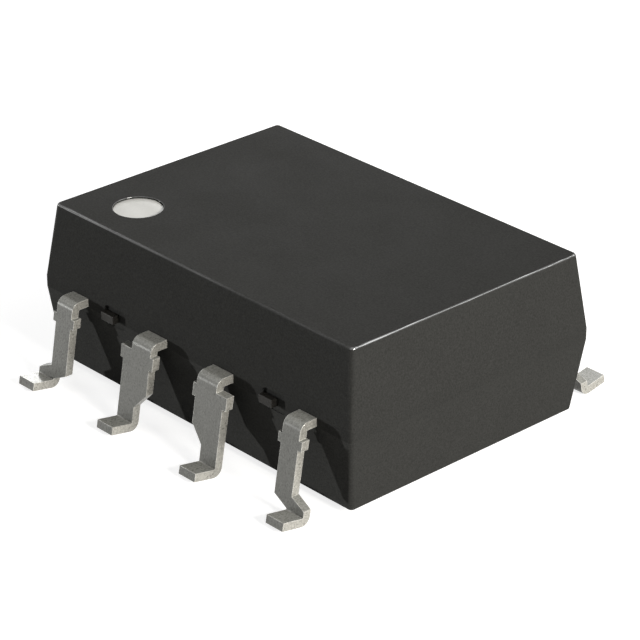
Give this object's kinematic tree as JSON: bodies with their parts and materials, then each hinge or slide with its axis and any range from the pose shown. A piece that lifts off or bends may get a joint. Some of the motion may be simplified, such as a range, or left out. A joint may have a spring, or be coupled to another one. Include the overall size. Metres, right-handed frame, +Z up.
{
  "type": "optocoupler",
  "caption": "Optocoupler in a black moulded body with gull-wing leads along both long sides, a light source facing a detector inside, and a white mark beside lead 1.",
  "frame": {"origin": "under the middle of the body, on the plane that the heels of the feet rest on", "axes": "+X along the rows of leads, from lead 1 to lead 4; +Y from the light source's side to the detector's side; +Z up, away from the board"},
  "size_m": [0.0092, 0.009, 0.0036],
  "materials": {
    "black_epoxy": "matt, fine-grained",
    "white_epoxy": "matt",
    "mark_paint": "matt",
    "tinned_metal": "satin tin plating",
    "cut_metal": "dark, as sheared",
    "emitter_die": "polished",
    "detector_die": "polished",
    "die_adhesive": "silver-filled, matt",
    "clear_gel": "clear",
    "gold": "bright"
  },
  "bodies": {
    "root": {"outer_moulding": "black_epoxy", "pin_1_dot": "mark_paint", "inner_moulding": "white_epoxy", "lead_1": "tinned_metal", "lead_2": "tinned_metal", "lead_3": "tinned_metal", "lead_4": "tinned_metal", "lead_5": "tinned_metal", "lead_6": "tinned_metal", "lead_7": "tinned_metal", "lead_8": "tinned_metal", "tie_bar_1": "cut_metal", "tie_bar_2": "cut_metal", "tie_bar_3": "cut_metal", "tie_bar_4": "cut_metal", "emitter_chip": "emitter_die", "emitter_die_attach": "die_adhesive", "detector_chip": "detector_die", "detector_die_attach": "die_adhesive", "emitter_gel_dome": "clear_gel", "emitter_bond_wire": "gold", "output_bond_wire": "gold", "enable_bond_wire": "gold", "supply_bond_wire": "gold", "ground_bond_wire": "gold"}
  },
  "joints": []
}
